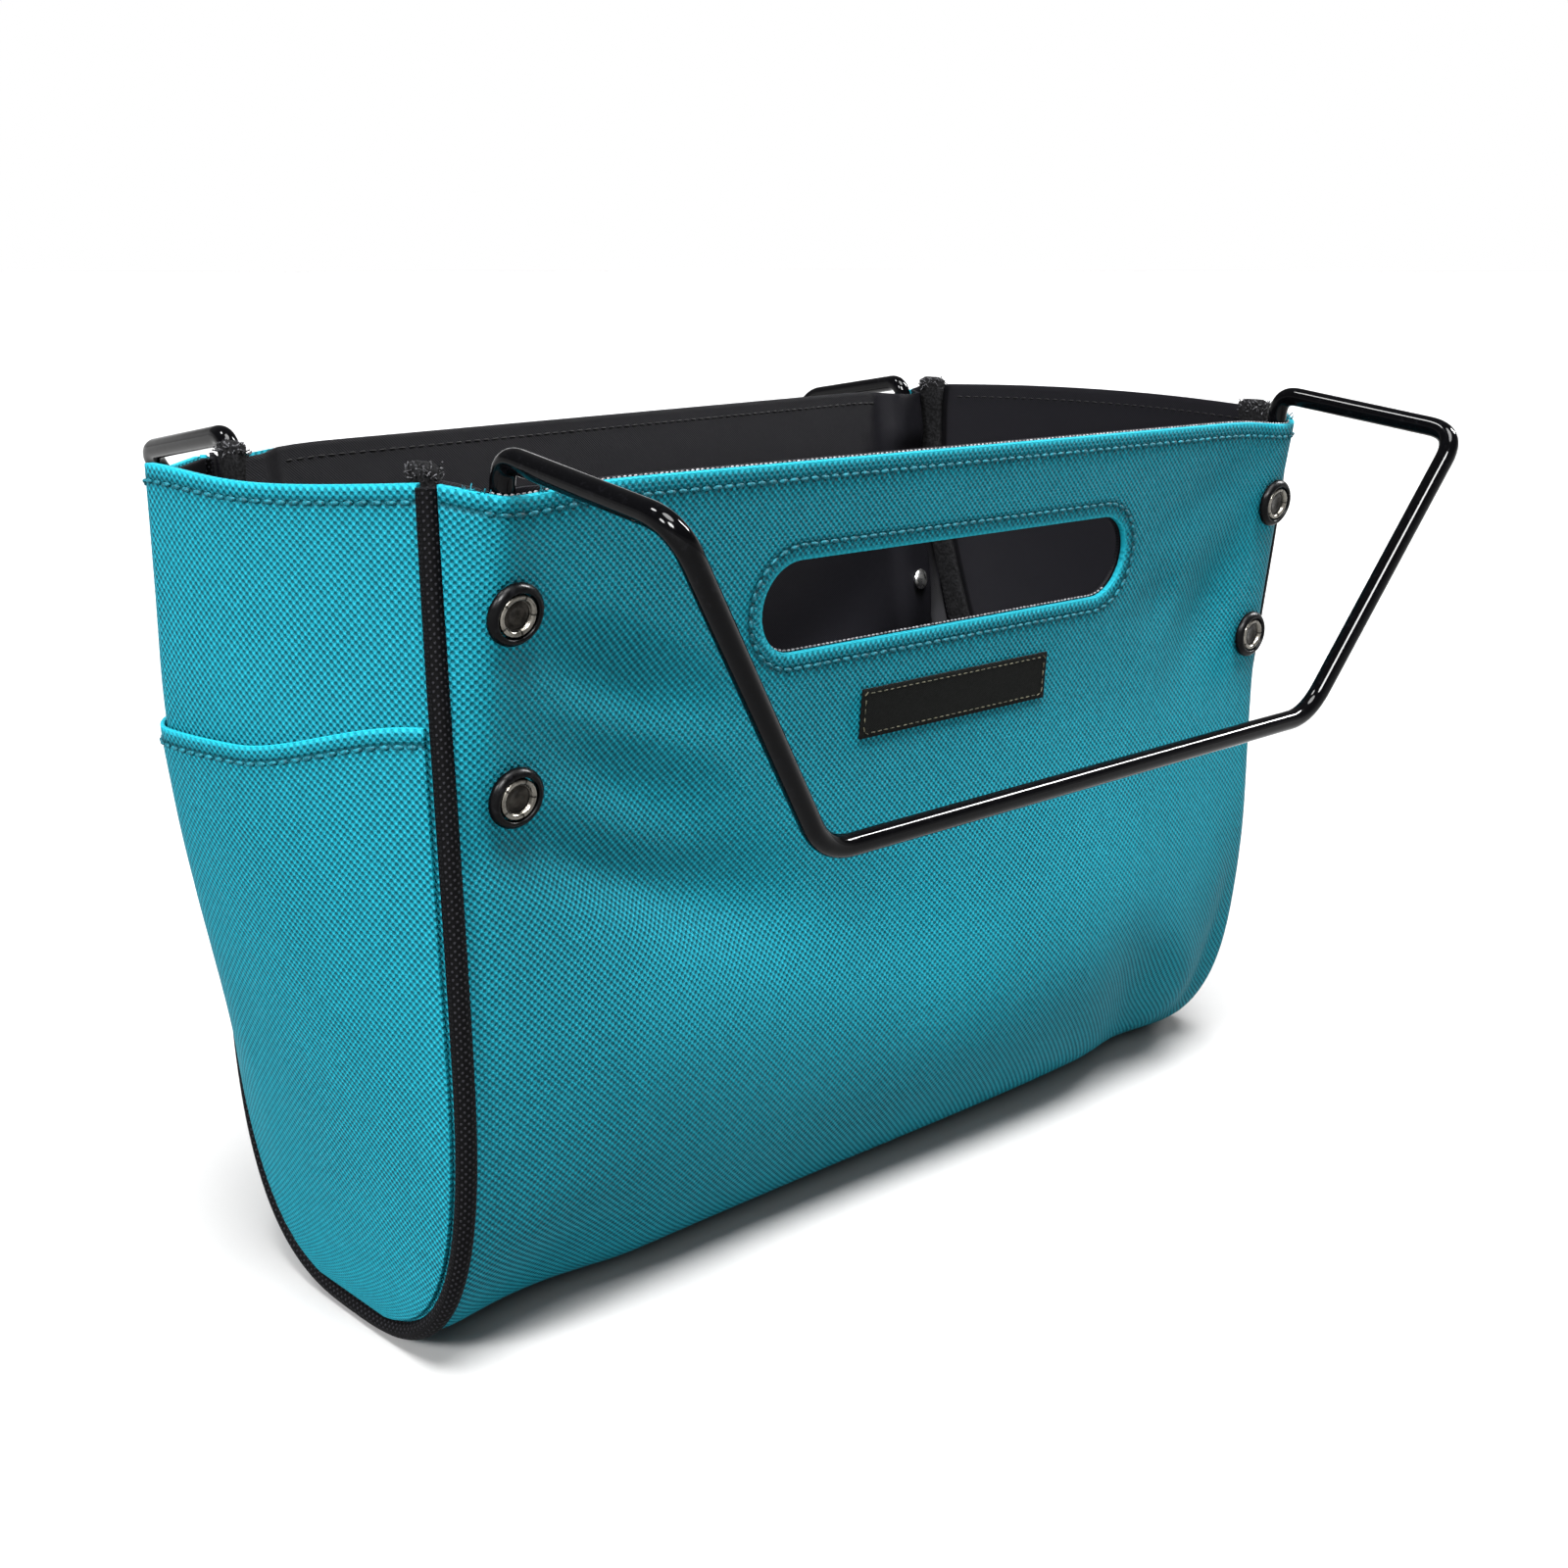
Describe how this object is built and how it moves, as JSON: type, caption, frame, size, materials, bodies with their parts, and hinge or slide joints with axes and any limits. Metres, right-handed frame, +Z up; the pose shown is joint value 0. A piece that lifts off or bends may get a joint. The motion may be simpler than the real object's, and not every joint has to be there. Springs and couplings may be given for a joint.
{
  "type": "ladder tool pouch",
  "caption": "Open-topped teal cloth tool pouch with black piping and lining, hand slots, end pockets and riveted black wire hooks for hanging it on a ladder.",
  "frame": {"origin": "middle of the bounding box's bottom, on the surface the pouch stands on", "axes": "+Z up; +X to the right as seen from the front; -Y towards the front, the face with the label patch"},
  "size_m": [0.3538, 0.2794, 0.2212],
  "materials": {
    "teal_cloth": "woven, slightly coated polyester",
    "black_lining": "smooth satin lining",
    "black_trim": "woven tape and piping cord",
    "black_wire": "glossy black coat",
    "gunmetal": "dark plated",
    "black_cap": "satin black"
  },
  "bodies": {
    "root": {"body_panel": "teal_cloth", "body_lining": "black_lining", "gusset_left": "teal_cloth", "gusset_lining_left": "black_lining", "pocket_left": "teal_cloth", "gusset_right": "teal_cloth", "gusset_lining_right": "black_lining", "pocket_right": "teal_cloth", "piping_left": "black_trim", "binding_left": "black_trim", "piping_right": "black_trim", "binding_right": "black_trim", "hook_front": "black_wire", "hook_back": "black_wire", "rivet_front_left_upper": "gunmetal", "rivet_front_left_lower": "gunmetal", "rivet_front_right_upper": "gunmetal", "rivet_front_right_lower": "gunmetal", "rivet_back_left_upper": "gunmetal", "rivet_back_left_lower": "gunmetal", "rivet_back_right_upper": "gunmetal", "rivet_back_right_lower": "gunmetal", "rivet_cap_front_left_upper": "black_cap", "rivet_cap_front_left_lower": "black_cap", "rivet_cap_front_right_upper": "black_cap", "rivet_cap_front_right_lower": "black_cap", "rivet_cap_back_left_upper": "black_cap", "rivet_cap_back_left_lower": "black_cap", "rivet_cap_back_right_upper": "black_cap", "rivet_cap_back_right_lower": "black_cap", "label_patch": "black_trim"}
  },
  "joints": []
}
